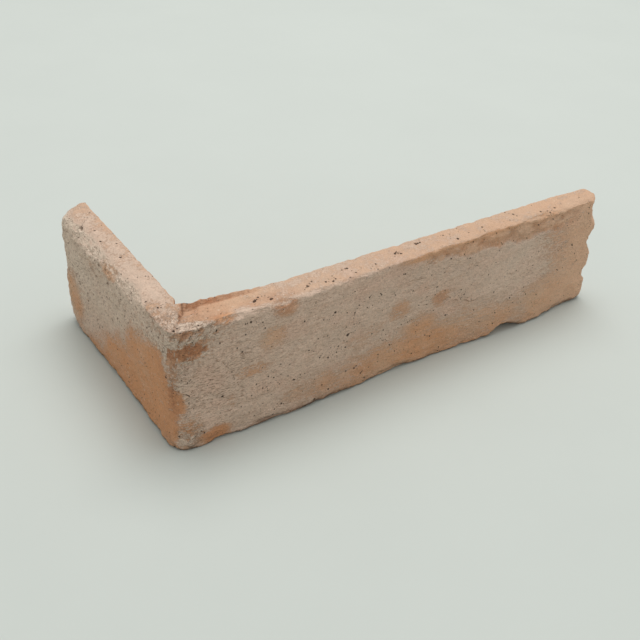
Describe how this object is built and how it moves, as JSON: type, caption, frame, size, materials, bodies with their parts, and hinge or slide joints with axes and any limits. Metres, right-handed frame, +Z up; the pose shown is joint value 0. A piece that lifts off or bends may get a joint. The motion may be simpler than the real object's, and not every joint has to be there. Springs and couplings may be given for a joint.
{
  "type": "corner brick slip",
  "caption": "Thin L-shaped fired-clay slip sawn off the corner of a hand-moulded brick, to wrap an outside wall corner with brick facing.",
  "frame": {"origin": "under the middle of the slip's box, on the level of the lower bed face that it stands on", "axes": "+X along the long stretcher leg from the outer corner to its free end, +Y along the short header leg away from the stretcher face, +Z up from bed face to bed face"},
  "size_m": [0.2602, 0.1302, 0.065],
  "materials": {
    "fired_clay": "matt, orange-buff fired clay under a thin, rubbed, pinkish grey lime bloom, with small dark pits"
  },
  "bodies": {
    "root": {"corner_slip": "fired_clay"}
  },
  "joints": []
}
